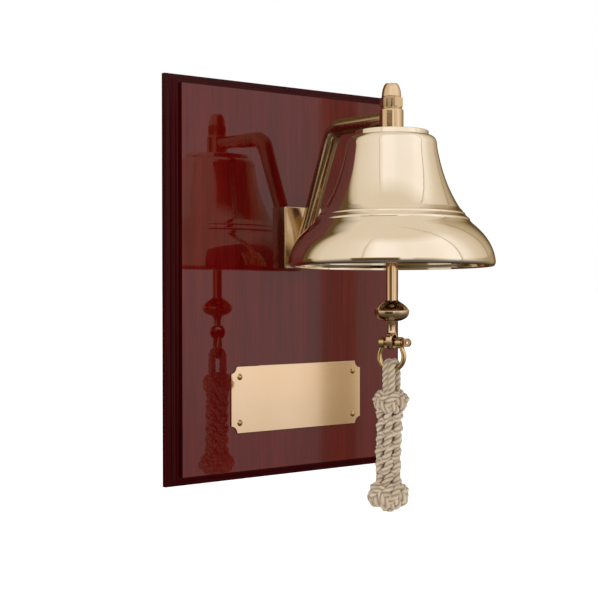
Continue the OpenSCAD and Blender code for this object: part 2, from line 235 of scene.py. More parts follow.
def tube(path, radii, sides):
    """A round tube along a path, with a radius for each of its points or one for all."""
    path = np.asarray(path, float)
    radii = np.broadcast_to(radii, (len(path),))
    across, up = frames_along(path)
    points, rings = [], []
    for i, centre in enumerate(path):
        outline = circle(radii[i], sides)
        rings.append(list(range(len(points), len(points) + sides)))
        points += list(centre + outline[:, :1] * across[i] + outline[:, 1:] * up[i])
    return points, capped(rings)


def joined(*parts):
    """One mesh from several (points, faces) parts."""
    points, faces = [], []
    for more_points, more_faces in parts:
        shift = len(points)
        points += list(more_points)
        faces += [tuple(k + shift for k in face) for face in more_faces]
    return points, faces


def smooth_path(points, step):
    """A Catmull-Rom curve through points, with a point about every step."""
    p = np.asarray(points, float)
    p = np.vstack([2 * p[0] - p[1], p, 2 * p[-1] - p[-2]])
    out = []
    for a, b, c, d in zip(p, p[1:], p[2:], p[3:]):
        n = max(2, int(np.linalg.norm(c - b) / step))
        for t in np.linspace(0, 1, n, endpoint=False):
            out.append(0.5 * (2 * b + (c - a) * t + (2 * a - 5 * b + 4 * c - d) * t ** 2
                              + (3 * b - a - 3 * c + d) * t ** 3))
    return np.array(out + [p[-2]])


# ---- node helpers for the materials ----

class Nodes:
    """A node tree, with short calls to add and link nodes."""

    def __init__(self, tree):
        self.tree = tree

    def add(self, kind, inputs=None, **settings):
        node = self.tree.nodes.new("ShaderNode" + kind)
        for key, value in settings.items():
            setattr(node, key, value)
        for key, value in (inputs or {}).items():
            if isinstance(value, bpy.types.NodeSocket):
                self.tree.links.new(value, node.inputs[key])
            else:
                node.inputs[key].default_value = value
        return node

    def place(self, scale=(1, 1, 1)):
        """Coordinates on the object, in metres, multiplied by a scale along each axis."""
        coordinates = self.add("TexCoord").outputs["Object"]
        return self.add("Mapping", {"Vector": coordinates, "Scale": scale}).outputs["Vector"]

    def noise(self, vector, scale, detail, roughness=0.5, distortion=0):
        return self.add("TexNoise", {"Vector": vector, "Scale": scale, "Detail": detail,
                                     "Roughness": roughness, "Distortion": distortion}).outputs["Fac"]

    def ramp(self, value, stops):
        """A colour ramp; stops are (position, colour) pairs in rising order."""
        node = self.add("ValToRGB", {"Fac": value})
        elements = node.color_ramp.elements
        elements[0].position, elements[1].position = stops[0][0], stops[-1][0]
        elements[0].color, elements[-1].color = (*stops[0][1], 1), (*stops[-1][1], 1)
        for at, colour in stops[1:-1]:
            elements.new(at).color = (*colour, 1)
        return node.outputs["Color"]

    def spread(self, value, low, high, from_low=0.3, from_high=0.7):
        """Spreads a value over a new range; noise lies mostly between 0.3 and 0.7."""
        return self.add("MapRange", {"Value": value, "From Min": from_low, "From Max": from_high,
                                     "To Min": low, "To Max": high}).outputs["Result"]

    def math(self, operation, a, b):
        return self.add("Math", {0: a, 1: b}, operation=operation).outputs["Value"]

    def mix(self, factor, a, b, blend="MIX"):
        node = self.add("Mix", data_type="RGBA", blend_type=blend)
        for key, value in (("Factor", factor), ("A", a), ("B", b)):
            socket = next(s for s in node.inputs if s.name == key and s.enabled)
            if isinstance(value, bpy.types.NodeSocket):
                self.tree.links.new(value, socket)
            else:
                socket.default_value = value if key == "Factor" else (*value, 1)
        return next(s for s in node.outputs if s.enabled)


class Look(Nodes):
    """A material's node tree, with its shader."""

    def __init__(self, name, **shader):
        self.material = bpy.data.materials.new(name)
        self.material.use_nodes = True
        super().__init__(self.material.node_tree)
        self.shader = self.tree.nodes["Principled BSDF"]
        for socket, value in shader.items():
            self.shader.inputs[socket.replace("_", " ")].default_value = value

    def bump(self, height, distance, strength=1.0):
        """Bumps the surface: a height of 1 stands out by the distance, in millimetres."""
        node = self.add("Bump", {"Height": height, "Distance": distance * MM, "Strength": strength})
        self.to_shader("Normal", node.outputs["Normal"])

    def to_shader(self, socket, value):
        self.tree.links.new(value, self.shader.inputs[socket])


def metal(name, colour, dull, roughness, lathe_lines=0.0, grain=0.15, waves=0.0):
    """Polished metal: a drift between two tints, uneven gloss, fine turning lines and hand-polished waves."""
    m = Look(name, Metallic=1.0)
    slow = m.noise(m.place(), scale=28, detail=3)
    m.to_shader("Base Color", m.mix(m.spread(slow, 0, 1, 0.35, 0.75), colour, dull))
    fine = m.noise(m.place(), scale=420, detail=5, roughness=0.6)
    m.to_shader("Roughness", m.spread(fine, roughness * 0.75, roughness * 1.45))
    turned = m.noise(m.place((1, 1, 40)), scale=60, detail=3)
    wave = m.noise(m.place((1, 1, 0.6)), scale=26, detail=1)
    height = m.math("ADD", m.math("MULTIPLY", turned, lathe_lines), m.math("MULTIPLY", fine, grain))
    m.bump(m.math("ADD", height, m.math("MULTIPLY", wave, waves)), distance=0.02)
    return m.material


def wood_material(name, shades, coat, coat_roughness):
    """Red mahogany with an upright grain, under a clear lacquer; shades run from dark to light."""
    m = Look(name, Roughness=0.6, Coat_Weight=coat, Coat_Roughness=coat_roughness, Coat_IOR=1.5)
    m.shader.inputs["Specular IOR Level"].default_value = 0
    broad = m.noise(m.place((9, 9, 0.7)), scale=6, detail=5, roughness=0.6, distortion=0.6)
    fine = m.noise(m.place((60, 60, 1.6)), scale=9, detail=6, roughness=0.7)
    pores = m.noise(m.place((180, 180, 5)), scale=8, detail=2)
    ground = m.ramp(broad, list(zip((0.25, 0.5, 0.8), shades)))
    streaks = m.ramp(fine, [(0.3, (0.72, 0.6, 0.6)), (0.7, (1.15, 1.25, 1.2))])
    grained = m.mix(1.0, ground, streaks, "MULTIPLY")
    dark_pores = m.ramp(pores, [(0.30, (0.5, 0.42, 0.42)), (0.42, (1, 1, 1))])
    m.to_shader("Base Color", m.mix(0.6, grained, m.mix(1.0, grained, dark_pores, "MULTIPLY")))
    m.bump(fine, distance=0.01, strength=0.25)
    return m.material


def brushed_sheet_material():
    """Lacquered brass sheet with a fine brushing that runs across the plate."""
    m = Look("brushed_brass_sheet", Metallic=1.0)
    brushed = m.noise(m.place((3, 1, 400)), scale=8, detail=4, roughness=0.7)
    slow = m.noise(m.place(), scale=22, detail=3)
    tint = m.mix(m.spread(slow, 0, 1), (0.80, 0.60, 0.42), (0.76, 0.56, 0.37))
    m.to_shader("Base Color", m.mix(m.spread(brushed, 0, 0.25), tint, (0.86, 0.68, 0.49)))
    m.to_shader("Roughness", m.spread(brushed, 0.04, 0.055))
    m.bump(brushed, distance=0.004, strength=0.3)
    return m.material


def steel_material():
    """Zinc-plated steel, spangled and a little matt."""
    m = Look("zinc_plated_steel", Metallic=1.0)
    spangle = m.add("TexVoronoi", {"Vector": m.place(), "Scale": 900.0}).outputs["Color"]
    m.to_shader("Base Color", m.mix(0.16, (0.56, 0.57, 0.6), spangle, "SOFT_LIGHT"))
    fine = m.noise(m.place(), scale=700, detail=4)
    m.to_shader("Roughness", m.spread(fine, 0.25, 0.42))
    m.bump(fine, distance=0.03, strength=0.5)
    return m.material


def cotton_material():
    """Natural cotton rope: yarns that follow each strand, loose fibres, and painted shade that darkens the
    hollows between the plies.
    """
    m = Look("natural_cotton", Roughness=0.92, Sheen_Weight=0.35, Sheen_Roughness=0.5, IOR=1.45)
    m.shader.inputs["Sheen Tint"].default_value = (1, 0.93, 0.82, 1)
    lay = m.add("Attribute", attribute_name="lay").outputs["Vector"]
    along = m.add("Mapping", {"Vector": lay, "Scale": (2.6, 0.55, 1)}).outputs["Vector"]
    yarn = m.noise(along, scale=1.0, detail=3, roughness=0.6)
    fibre = m.noise(m.place(), scale=1500, detail=4, roughness=0.7)
    patch = m.noise(m.place(), scale=130, detail=3)
    hollow = m.add("Attribute", attribute_name="hollow").outputs["Fac"]
    base = m.ramp(patch, [(0.3, (0.59, 0.46, 0.32)), (0.7, (0.80, 0.66, 0.485))])
    dusty = m.mix(m.spread(yarn, 0, 0.6), base, (0.37, 0.265, 0.175))
    # Painted shade: the deeper a point lies between the plies, the nearer its colour is pulled to a deep
    # brown
    hollow_shaded = m.mix(m.math("MULTIPLY", hollow, 0.9), dusty, (0.17, 0.105, 0.06))
    m.to_shader("Base Color", hollow_shaded)
    height = m.math("ADD", m.math("MULTIPLY", yarn, 0.7), m.math("MULTIPLY", fibre, 0.3))
    m.bump(height, distance=0.9)
    return m.material


BELL_BRASS = metal("polished_bell_brass", (0.91, 0.82, 0.70), (0.88, 0.78, 0.64), 0.05,
                   lathe_lines=0.3, waves=19)
ARM_BRASS = metal("cast_bracket_brass", (0.58, 0.44, 0.28), (0.50, 0.37, 0.22), 0.17, grain=0.15, waves=4)
TURNED_BRASS = metal("turned_fitting_brass", (0.79, 0.61, 0.42), (0.72, 0.53, 0.34), 0.07,
                     lathe_lines=0.06, grain=0.1)
GOLD_BRASS = metal("drawn_shackle_brass", (0.74, 0.57, 0.30), (0.66, 0.48, 0.23), 0.12, grain=0.4)
AGED_BRASS = metal("aged_pin_brass", (0.66, 0.46, 0.22), (0.54, 0.36, 0.15), 0.2, grain=0.3)
PIN_METAL = metal("copper_toned_pin", (0.70, 0.46, 0.33), (0.60, 0.37, 0.25), 0.14, grain=0.5)
WOOD_FACE = wood_material("mahogany_face", coat=1.0, coat_roughness=0.02, shades=(
    (0.060, 0.0006, 0.0008), (0.085, 0.0014, 0.0012), (0.120, 0.0050, 0.0030)))
# Painted shade: the moulding, sides and back get a copy of the mahogany painted far darker than the face
WOOD_EDGE_SHADED = wood_material("mahogany_edge_painted_shade", coat=0.22, coat_roughness=0.05, shades=(
    (0.018, 0.0002, 0.0008), (0.028, 0.0004, 0.0012), (0.040, 0.0010, 0.0018)))
BRASS_SHEET = brushed_sheet_material()
STEEL = steel_material()
COTTON = cotton_material()


# ---- rope: strands with three twisted plies each ----

PLIES, PLY_PITCH = 3, 12
STRAND_STEP = 0.5
STRAND_SIDES = 24
# A strand's radius between its plies and on them, as shares of its nominal radius, and the roundness of a ply
PLY_VALLEY, PLY_CROWN, PLY_POWER = 0.70, 1.03, 0.8
# A strand wanders off its middle line and swells and thins a little on its way
UNEVEN, UNEVEN_SHARE, UNEVEN_PITCH = 0.4, 0.07, 13
# Strands that start at other turns also wander differently, by this many times their start
UNEVEN_START = 2.3
# The eye is drawn tight over the bow, so its strands keep this share of the unevenness
EYE_UNEVEN = 0.2
# Middle line of the braid, from the upper knot to the end knob: part.scad's route, in metres
BRAID_ROUTE = [(-0.0010, -0.1230, -0.097), (-0.0015, -0.1230, -0.112),
               (-0.0020, -0.1225, -0.128), (-0.0020, -0.1225, -0.144)]
# The braid's strands: the climb in which each moves on by one place, a strand's radius, the circle that
# their middle lines lie about, how far they bulge from it and sway up and down, and the turn of the first
BRAID_STRANDS = 6
BRAID_LEVEL = 9.55
BRAID_STRAND_R = 2.75
BRAID_OUT, BRAID_BULGE, BRAID_SWAY = 6.3, 1.1, 1.2
BRAID_TURN = -138
BRAID_STEP = 0.3
BRAID_CORE_R = 4.6
# The braid runs this far up into the upper knot, and stops this short of the end knob's underside
BRAID_IN_KNOT, BRAID_IN_KNOB = 6, 0.6
# The eye's two strands lie this far apart, and their legs dip this far into the upper knot
EYE_APART, EYE_DIP = 4.2, 8
# Middles of the upper knot and the end knob, off the bell's axis
KNOT_LEAN = (-0.5, 0.5)
KNOB_LEAN = (-2, 1.5)
KNOT_WEAVE = {"leads": 3, "bights": 4, "reach": 62, "turn": 20, "radius": 2.6}
KNOB_WEAVE = {"leads": 3, "bights": 5, "reach": 66, "turn": 10, "radius": 2.8}
# Radius and half height of the cores that fill the two knots
KNOT_CORE = (KNOT_R - 4.8, KNOT_H / 2 - 3)
KNOB_CORE = (KNOB_R - 5, KNOB_H / 2 - 2.4)
# In knots, how far a crossing strand is lifted and how far a doubled one is set aside, in strand radii
KNOT_LIFT, KNOT_ASIDE = 0.78, 0.95
# A knot's swinging line is about this much longer than a level one
SWING_LENGTH = 1.5
# How dark the rope's filling is painted, as a share of the painted shade in the darkest hollow
CORE_PAINTED_SHADE = 0.9


def strand(path, radius, start, closed=False, uneven=1.0):
    """One uneven rope strand of three twisted plies, with lay (around, along) and hollow for its material."""
    path = np.asarray(path, float)
    sides, ups = frames_along(path, closed)
    lengths = lengths_along(path)
    total = lengths[-1] + (np.linalg.norm(path[0] - path[-1]) if closed else 0)
    # How far the frame has turned on its way round a closed strand
    drift = math.atan2(sides[-1] @ ups[0], sides[-1] @ sides[0]) if closed else 0
    angles = np.linspace(0, 2 * math.pi, STRAND_SIDES, endpoint=False)
    points, rings, lay, hollow = [], [], [], []
    for i, (twist, phase) in enumerate(zip(*strand_turns(lengths, total, drift, start))):
        lobe = np.abs(np.cos(PLIES / 2 * (angles - twist))) ** PLY_POWER
        r = radius * (PLY_VALLEY + (PLY_CROWN - PLY_VALLEY) * lobe)
        r *= 1 + uneven * UNEVEN_SHARE * math.sin(2 * phase)
        shift = uneven * UNEVEN * (math.cos(phase) * sides[i] + math.sin(phase) * ups[i])
        offsets = (r * np.cos(angles))[:, None] * sides[i] + (r * np.sin(angles))[:, None] * ups[i]
        rings.append(list(range(len(points), len(points) + STRAND_SIDES)))
        points += list(path[i] + shift + offsets)
        lay += [((a - twist) * radius, lengths[i], 0) for a in angles]
        hollow += list(1 - lobe)
    if not closed:
        return points, capped(rings), lay, hollow
    skip = round(drift / (2 * math.pi) * STRAND_SIDES) % STRAND_SIDES
    return points, skin(rings) + band(rings[-1], rings[0][skip:] + rings[0][:skip]), lay, hollow


def strand_turns(lengths, total, drift, start):
    """The turn of a strand's plies and of its wander at each length; both meet again on a closed strand."""
    ply_steps = max(1, round(total / PLY_PITCH * PLIES))
    turns = (ply_steps / PLIES - drift / (2 * math.pi)) / total
    wander = max(1, round(total / UNEVEN_PITCH)) / total
    twist = 2 * math.pi * turns * lengths + start
    phase = 2 * math.pi * wander * lengths + UNEVEN_START * start
    return twist, phase


def rope_piece(name, strands, replaces):
    points, faces = joined(*[(s[0], s[1]) for s in strands])
    mesh = new_mesh(name, points, faces)
    mesh.polygons.foreach_set("use_smooth", [True] * len(mesh.polygons))
    lay = mesh.attributes.new("lay", "FLOAT_VECTOR", "POINT")
    lay.data.foreach_set("vector", np.array([v for s in strands for v in s[2]], np.float32).ravel())
    hollow = mesh.attributes.new("hollow", "FLOAT", "POINT")
    hollow.data.foreach_set("value", np.array([v for s in strands for v in s[3]], np.float32))
    return dress_piece(add_object(name, mesh), COTTON, replaces, "rope")


def eye_strands():
    """Two strands side by side over the shackle's bow; each dips into the knot with both legs."""
    strands = []
    legs = np.linspace(KNOT_TOP - EYE_DIP, LOOP_Z, 13)
    for n, x in enumerate((-EYE_APART / 2, EYE_APART / 2)):
        front = [(x, -LOOP_R, z) for z in legs[:-1]]
        over = [(x, y, LOOP_Z + z) for y, z in arc((0, 0), LOOP_R, 180, 0, 12)]
        back = [(x, LOOP_R, z) for z in legs[-2::-1]]
        path = smooth_path(front + over + back, STRAND_STEP)
        path = [AT_PIN @ Vector(p) for p in path]
        strands.append(strand(path, STRAND_R, start=1.1 * n, uneven=EYE_UNEVEN))
    return strands


def braid_centre(z):
    """The braid's middle at a height, in millimetres, along its route."""
    route = np.array(BRAID_ROUTE) / MM
    heights = route[::-1, 2]
    return np.array([np.interp(z, heights, route[::-1, 0]), np.interp(z, heights, route[::-1, 1]), z])


def braid_strands():
    """Six strands crowned one over the next: each climbs up a column, then ducks under to the one beside."""
    strands = []
    bottom = KNOB_TOP - KNOB_H + BRAID_IN_KNOB
    heights = np.arange(KNOT_TOP - KNOT_H + BRAID_IN_KNOT, bottom, -BRAID_STEP)
    step = 2 * math.pi / BRAID_STRANDS
    for k in range(BRAID_STRANDS):
        path = []
        for z in heights:
            turn = (z / BRAID_LEVEL + k) * step
            phase = BRAID_STRANDS * turn
            # Inside the end knob the strands close in on the middle
            closing = min(1, (z - bottom) / KNOB_H * 1.5 + 0.2)
            out = (BRAID_OUT + BRAID_BULGE * math.cos(phase)) * closing
            angle = turn + math.radians(BRAID_TURN)
            sway = BRAID_SWAY * math.sin(phase)
            path.append(braid_centre(z) + [out * math.cos(angle), out * math.sin(angle), sway])
        strands.append(strand(path, BRAID_STRAND_R, start=k))
    return strands + [braid_core(heights)]


def braid_core(heights):
    """A soft tube that fills the braid."""
    return filling(*tube([braid_centre(z) for z in heights[::8]], BRAID_CORE_R, 20))


def filling(points, faces):
    """A plain part in the shape that strand() returns, painted as dark as the shade in a hollow."""
    return points, faces, [(p[0], p[2], 0) for p in points], [CORE_PAINTED_SHADE] * len(points)


def knot_strands(centre, half_r, half_h, leads, bights, reach, turn, radius):
    """A doubled Turk's head over a rounded body, centred on a point.

    The middle line swings up and down `bights` times in `leads` rounds, and passes over and under itself.
    """
    lift = radius * KNOT_LIFT
    count = int(leads * 2 * math.pi * half_r / STRAND_STEP * SWING_LENGTH)
    t = np.linspace(0, 2 * math.pi, count, endpoint=False)
    around = leads * t + math.radians(turn)
    swing = np.radians(reach) * np.sin(bights * t)
    level = lift * np.sin(2 * bights * t)
    out = np.stack([np.cos(around) * np.cos(swing), np.sin(around) * np.cos(swing), np.sin(swing)], 1)
    core = np.array([half_r - radius - lift, half_r - radius - lift, half_h - radius - lift])
    middle = out * (core + level[:, None])
    tangents = np.roll(middle, -1, 0) - np.roll(middle, 1, 0)
    tangents /= np.linalg.norm(tangents, axis=1)[:, None]
    normals = out / np.array([1, 1, half_h / half_r])
    normals /= np.linalg.norm(normals, axis=1)[:, None]
    across = np.cross(normals, tangents)
    across /= np.linalg.norm(across, axis=1)[:, None]
    strands = []
    for n, side in enumerate((-1, 1)):
        path = np.array(centre) + middle + side * radius * KNOT_ASIDE * across
        strands.append(strand(path, radius, start=n, closed=True))
    return strands


def knot_core(centre, half_r, half_h):
    """A soft round core that fills a knot."""
    profile = [(0, half_h)] + [(half_r * math.cos(a), half_h * math.sin(a))
                               for a in np.linspace(math.pi / 2, -math.pi / 2, 15)[1:-1]] + [(0, -half_h)]
    points, faces = lathe(profile, 32)
    return filling([Vector(p) + Vector(centre) for p in points], faces)


def make_rope():
    knot_centre = (AXIS.x + KNOT_LEAN[0], AXIS.y + KNOT_LEAN[1], KNOT_TOP - KNOT_H / 2)
    knob_centre = (AXIS.x + KNOB_LEAN[0], AXIS.y + KNOB_LEAN[1], KNOB_TOP - KNOB_H / 2)
    rope = rope_piece("rope_strands", eye_strands() + braid_strands(), ["rope_eye", "rope_braid"])
    knot = rope_piece("upper_knot_strands",
                      knot_strands(knot_centre, KNOT_R, KNOT_H / 2, **KNOT_WEAVE)
                      + [knot_core(knot_centre, *KNOT_CORE)], ["upper_knot"])
    knob = rope_piece("bottom_knob_strands",
                      knot_strands(knob_centre, KNOB_R, KNOB_H / 2, **KNOB_WEAVE)
                      + [knot_core(knob_centre, *KNOB_CORE)], ["bottom_knob"])


make_rope()


# ---- bell ----

def bell_profile():
    """The bell's section as (radius, height) points: up to down outside, and back up inside."""
    outside = (
        [(STUD_R, BELL_H), (CROWN_R - 0.6, BELL_H)]
        + arc((CROWN_R - 0.6, BELL_H - 0.6), 0.6, 90, 0, 4)[1:]
        + [(CROWN_R, BELL_H - DISC_H + 0.3), (CROWN_R - 0.4, BELL_H - DISC_H)]
        + bezier((27.4, BELL_H - DISC_H), (32.4, BELL_H - DISC_H - 0.2), (32.5, BELL_H - 10), 16)
        + bezier((32.6, BELL_H - 11), (37, BELL_H - 38), (49.2, 40.8), 40)
        + [(49.8, 40.4)]
        + arc((50.6, 36.4), 2, 68, 2, 12)
        + arc((53.9, 32.6), 2, 62, -8, 12)
        + bezier((58, 30), (LIP_R - 1.4, 18.3), (LIP_R, 3.4), 34)
        + bezier((LIP_R, 3.2), (LIP_R - 0.1, 0.3), (LIP_R - 1.8, 0), 8))
    inside = (
        bezier((LIP_R - 4.4, 0), (LIP_R - 4.6, 1.5), (LIP_R - 4.4, 3.4), 4)
        + bezier((LIP_R - 4.4, 4), (LIP_R - 6, 16), (54, 27.6), 18)
        + bezier((46.4, 37.2), (33.6, BELL_H - 39), (29.4, BELL_H - 11), 18)
        + bezier((29.3, BELL_H - 10), (29.1, BELL_H - CROWN_T - 1.4), (24, BELL_H - CROWN_T), 8)
        + [(STUD_R, BELL_H - CROWN_T)])
    return outside + inside


def make_bell():
    place = (Matrix.Translation((0, -BELL_REACH, CROWN_Z)) @ Matrix.Rotation(math.radians(-TIP_TURN), 4, "Z")
             @ Matrix.Rotation(math.radians(-BELL_TIP), 4, "X") @ Matrix.Translation((0, 0, -BELL_H)))
    points, faces = lathe(bell_profile(), 192)
    make_piece("bell_casting", points, faces, BELL_BRASS, replaces=["bell"],
               sharp=30, place=place)


# ---- bracket ----

def rounded_rectangle(w, h, r, n):
    """The outline of a rectangle whose corners are arcs of n steps."""
    corners = [(w / 2 - r, h / 2 - r, 0), (r - w / 2, h / 2 - r, 90),
               (r - w / 2, r - h / 2, 180), (w / 2 - r, r - h / 2, 270)]
    return [p for x, y, a in corners for p in arc((x, y), r, a, a + 90, n)]


def stacked_plate(outlines):
    """A plate built up from (outline, depth) layers, closed at both ends."""
    points, rings = [], []
    for outline, y in outlines:
        rings.append(list(range(len(points), len(points) + len(outline))))
        points += [(x, y, z) for x, z in outline]
    return points, skin(rings) + [tuple(rings[0]), tuple(reversed(rings[-1]))]


def plaque_section():
    """The board's edge, as (inset, depth) points from its back to its face: a band, a cove and a bead."""
    bead = arc((7.2, 9.2), 3.2, 174, 80, 14)
    return ([(0.5, 0), (0, 0.5), (0, 4)] + arc((1.4, 4), 1.4, 180, 90, 8)
            + [(2.08, 5.72)] + arc((1.2, 8.8), 3.2, -74, 0, 12) + bead
            + [(7.4, 13.2), (7.4, 15.0), (7.8, PLAQUE_T)])


def round_cutter(centre, r, depth, sides=48):
    """A cutter that reaches into the board from its back, at an (x, z) centre."""
    outline = [(centre[0] + x, centre[1] + z) for x, z in circle(r, sides)]
    return stacked_plate([(outline, 1), (outline, -depth)])


def box_cutter(centre, w, h, depth):
    """A cutter like round_cutter(), with a width and a height."""
    corners = ((1, 1), (-1, 1), (-1, -1), (1, -1))
    outline = [(centre[0] + i * w / 2, centre[1] + j * h / 2) for i, j in corners]
    return stacked_plate([(outline, 1), (outline, -depth)])


CUT_SHARP = 30


def cut(obj, *parts):
    """Cuts solids that don't touch each other out of a piece."""
    mesh = new_mesh("cutter", *joined(*parts))
    finish_mesh(mesh, CUT_SHARP)
    cutter = add_object("cutter", mesh)
    modifier = obj.modifiers.new("cut", "BOOLEAN")
    modifier.operation, modifier.solver, modifier.object = "DIFFERENCE", "EXACT", cutter
    graph = bpy.context.evaluated_depsgraph_get()
    result = bpy.data.meshes.new_from_object(obj.evaluated_get(graph))
    finish_mesh(result, CUT_SHARP)
    obj.modifiers.clear()
    obj.data = result
    bpy.data.objects.remove(cutter)


def make_plaque():
    """A board with a moulded edge, hollowed from behind for the bolts and the hanger plates."""
    layers = []
    for inset, depth in plaque_section():
        w, h = PLAQUE_W / 2 - inset, PLAQUE_H / 2 - inset
        layers.append(([(w, h), (-w, h), (-w, -h), (w, -h)], -depth))
    points, faces = stacked_plate(layers)
    board = make_piece("plaque_board", points, faces, WOOD_FACE, replaces=["plaque"])
    board.data.materials.append(WOOD_EDGE_SHADED)
    # Faces behind the front face take the darker copy of the mahogany, which paints the moulding's shade
    face_depth = (FACE_Y + 0.1) * MM
    for face in board.data.polygons:
        face.material_index = 0 if face.center.y < face_depth else 1
    bolts = [(x, FOOT_Z + z) for x in (-BOLT_X, BOLT_X) for z in (-BOLT_Z, BOLT_Z)]
    hangers = [(x, HANGER_Z) for x in (-HANGER_X, HANGER_X)]
    screws = [(x, z + s) for x, z in hangers for s in (-SCREW_Z, SCREW_Z)]
    slots = [(x, z + KEY_SLOT_H / 2) for x, z in hangers]
    cut(board, *[round_cutter(at, WELL_R, WELL_DEPTH) for at in bolts])
    cut(board, *[round_cutter(at, BOLT_HOLE_R, PLAQUE_T + 1) for at in bolts])
    cut(board, *[box_cutter(at, POCKET_W, POCKET_H, POCKET_DEPTH) for at in hangers])
    cut(board, *[box_cutter(at, KEY_SLOT_W, KEY_SLOT_H + KEY_SLOT_W, KEY_SLOT_DEPTH) for at in slots])
    cut(board, *[round_cutter(at, SCREW_HOLE_R, SCREW_HOLE_DEPTH, 24) for at in screws])


def scooped_outline(inset):
    """The engraving plate's outline, with a hollow quarter circle at each corner."""
    w, h, r = TAG_W / 2, TAG_H / 2, TAG_SCOOP + inset
    slip = math.degrees(math.asin(inset / r))
    outline = []
    for i, j, turn in ((1, 1, 180), (-1, 1, 270), (-1, -1, 0), (1, -1, 90)):
        outline += arc((i * w, j * h), r, turn + 90 - slip, turn + slip, 10)
    return outline


def make_engraving_plate():
    bevel = 0.3
    layers = [(scooped_outline(0), 0), (scooped_outline(0), bevel - TAG_T), (scooped_outline(bevel), -TAG_T)]
    points, faces = stacked_plate(layers)
    make_piece("engraving_plate_sheet", points, faces, BRASS_SHEET,
               replaces=["engraving_plate"], place=Matrix.Translation((0, FACE_Y, TAG_Z)))


def make_foot():
    """The bracket's wall plate: its upright corners and the edge round its front are rounded."""
    corner, edge = 1.5, 1
    shoulder = FACE_Y - FOOT_T + edge
    layers = [(rounded_rectangle(FOOT_W, FOOT_H, corner, 5), FACE_Y)]
    for a in np.radians([0, 30, 60, 90]):
        inset = edge * (1 - math.cos(a))
        outline = rounded_rectangle(FOOT_W - 2 * inset, FOOT_H - 2 * inset, corner, 5)
        layers.append((outline, shoulder - edge * math.sin(a)))
    points, faces = stacked_plate(layers)
    make_piece("bracket_wall_plate", points, faces, ARM_BRASS,
               replaces=["bracket"], place=Matrix.Translation((0, 0, FOOT_Z)))


# The arm's middle line: where it leaves the wall plate, where its straights would meet, and its end
ARM_ROOT = np.array([0, -19.4, 20.0])
ARM_CORNER = np.array([0, -59.6, 114.6])
ARM_END = np.array([0, -BELL_REACH + 3, 116.2])
# The elbow's round begins this far from the corner on both straights
ARM_TURN = 10
# The arm's flare runs on this far below its root, inside the wall plate
ARM_SUNK = 8
# Radii of the arm: at its root without the flare, what it gains by the elbow, its radius at the boss, and
# what it has more than that just after the elbow
RISE_R, RISE_GAIN, RUN_R, RUN_TAPER = 5.2, 0.8, 4.9, 1.6
# The flare and the swelling at the elbow: how much they add to the radius, and over what share of the rise
FLARE, FLARE_SHARE = 4.2, 0.34
SWELLING, SWELLING_SHARE = 0.5, 0.12


def arm_line():
    """The arm's middle line: up from inside the wall plate, round the elbow and out to the boss."""
    rise, run = ARM_CORNER - ARM_ROOT, ARM_END - ARM_CORNER
    rise, run = rise / np.linalg.norm(rise), run / np.linalg.norm(run)
    before, after = ARM_CORNER - rise * ARM_TURN, ARM_CORNER + run * ARM_TURN
    up = np.linspace(ARM_ROOT - rise * ARM_SUNK, before, 44)
    elbow = bezier(before, ARM_CORNER, after, 14)[1:-1]
    return np.vstack([up, elbow, np.linspace(after, ARM_END, 30)])


def arm_radius(s, total):
    """The arm's radius at a length: a flare and a swelling towards the elbow, then a taper to the boss."""
    rise_length = np.linalg.norm(ARM_CORNER - ARM_ROOT) - ARM_TURN / 2
    share = max(0, s - ARM_SUNK) / rise_length
    if share < 1:
        flare = FLARE * max(0, 1 - share / FLARE_SHARE) ** 2
        swelling = SWELLING * max(0, 1 - (1 - share) / SWELLING_SHARE) ** 2
        return RISE_R + RISE_GAIN * share + flare + swelling
    along = (s - ARM_SUNK - rise_length) / (total - ARM_SUNK - rise_length)
    return RUN_R + RUN_TAPER * (1 - along)


def make_arm():
    """The arm rises out of the wall plate in a flare, turns at an elbow and runs out to the boss."""
    line = arm_line()
    lengths = lengths_along(line)
    points, faces = tube(line, [arm_radius(s, lengths[-1]) for s in lengths], 32)
    # What would come out behind or below the wall plate is pressed flat inside it
    lowest = FOOT_Z - FOOT_H / 2 + 0.5
    points = [(x, min(y, FACE_Y - 0.1), max(z, lowest)) for x, y, z in points]
    make_piece("bracket_arm", points, faces, ARM_BRASS, replaces=["bracket"])


def make_boss():
    """The bored boss at the arm's end; an extra ring keeps the shading of its side straight."""
    profile = ([(STUD_R + 0.05, 0), (BOSS_R - 0.3, 0), (BOSS_R, 0.3), (BOSS_R, BOSS_H - 1.3)]
               + arc((BOSS_R - 1, BOSS_H - 1), 1, 0, 90, 6) + [(STUD_R + 0.05, BOSS_H)])
    points, faces = lathe(profile, 96)
    make_piece("bracket_boss", points, faces, TURNED_BRASS, replaces=["bracket"],
               place=Matrix.Translation((0, -BELL_REACH, BOSS_Z)))


# ---- acorn nut ----

def make_acorn_nut():
    """A cap nut: a hexagon chamfered at both ends under a bullet-shaped dome."""
    corner_r, flat_r, hex_top, tip = 8.45, 7.3, 7.4, 17.2
    washer_t, segments = 1.2, 144
    chamfer = [(corner_r - 1.3 * t, hex_top - 0.9 + 0.9 * t) for t in np.linspace(0, 1, 9)]
    foot = [(corner_r - 1, 0), (corner_r, 0.6)] + chamfer
    curve = bezier((7.0, hex_top + 0.5), (6.9, 13.0), (5.0, tip - 0.8), 18)
    dome = [(6.9, hex_top + 0.1)] + curve + [(4.2, tip)]
    points, rings = [], []
    for i, (r, z) in enumerate(foot + dome):
        rings.append(list(range(len(points), len(points) + segments)))
        for a in np.linspace(0, 360, segments, endpoint=False):
            from_flat = math.radians((a - HEX_TURN) % 60 - 30)
            reach = min(r, flat_r / math.cos(from_flat)) if i < len(foot) else r
            points.append((reach * math.cos(math.radians(a)), reach * math.sin(math.radians(a)), z))
    make_piece("acorn_nut_cap", points, capped(rings), TURNED_BRASS,
               replaces=["acorn_nut"], sharp=14,
               place=Matrix.Translation((0, -BELL_REACH, BOSS_Z + BOSS_H + washer_t)))


# ---- clapper ----

